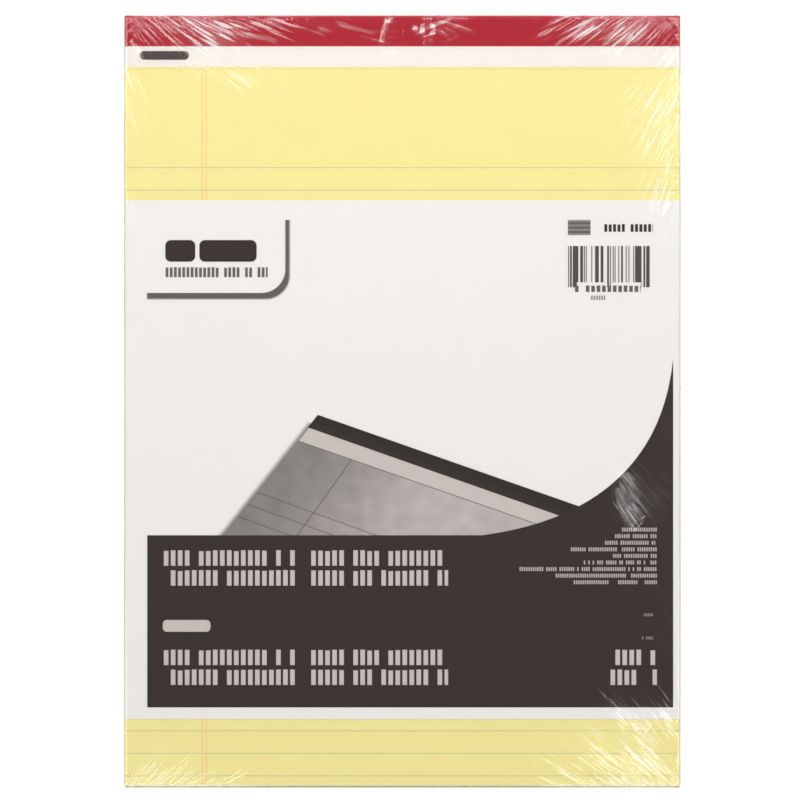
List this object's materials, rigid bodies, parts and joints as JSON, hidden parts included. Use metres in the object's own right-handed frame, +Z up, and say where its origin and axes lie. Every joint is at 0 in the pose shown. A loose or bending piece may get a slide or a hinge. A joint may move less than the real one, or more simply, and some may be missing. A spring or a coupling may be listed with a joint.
{
  "type": "legal pad pack",
  "caption": "Stack of ruled yellow writing pads with red bound heads and board backs, under a printed label sheet, shrink-wrapped in clear film.",
  "frame": {"origin": "on the surface that the pack lies on, under the middle of the sheets", "axes": "+Z up through the stack to the face of the top pad, +Y along the sheets to the bound head, +X across the sheets to the right as they are read"},
  "size_m": [0.2165, 0.2995, 0.015],
  "materials": {
    "canary_paper": "matte",
    "chipboard": "matte",
    "binding_tape": "satin",
    "staple_wire": "satin",
    "label_paper": "satin",
    "clear_film": "gloss"
  },
  "bodies": {
    "root": {"bottom_pad_backing_board": "chipboard", "bottom_pad_page_block": "canary_paper", "bottom_pad_binding_tape": "binding_tape", "bottom_pad_staple_left": "staple_wire", "bottom_pad_staple_centre": "staple_wire", "bottom_pad_staple_right": "staple_wire", "middle_pad_backing_board": "chipboard", "middle_pad_page_block": "canary_paper", "middle_pad_binding_tape": "binding_tape", "middle_pad_staple_left": "staple_wire", "middle_pad_staple_centre": "staple_wire", "middle_pad_staple_right": "staple_wire", "top_pad_backing_board": "chipboard", "top_pad_page_block": "canary_paper", "top_pad_binding_tape": "binding_tape", "top_pad_staple_left": "staple_wire", "top_pad_staple_centre": "staple_wire", "top_pad_staple_right": "staple_wire", "label_sheet": "label_paper", "shrink_film": "clear_film"}
  },
  "joints": []
}
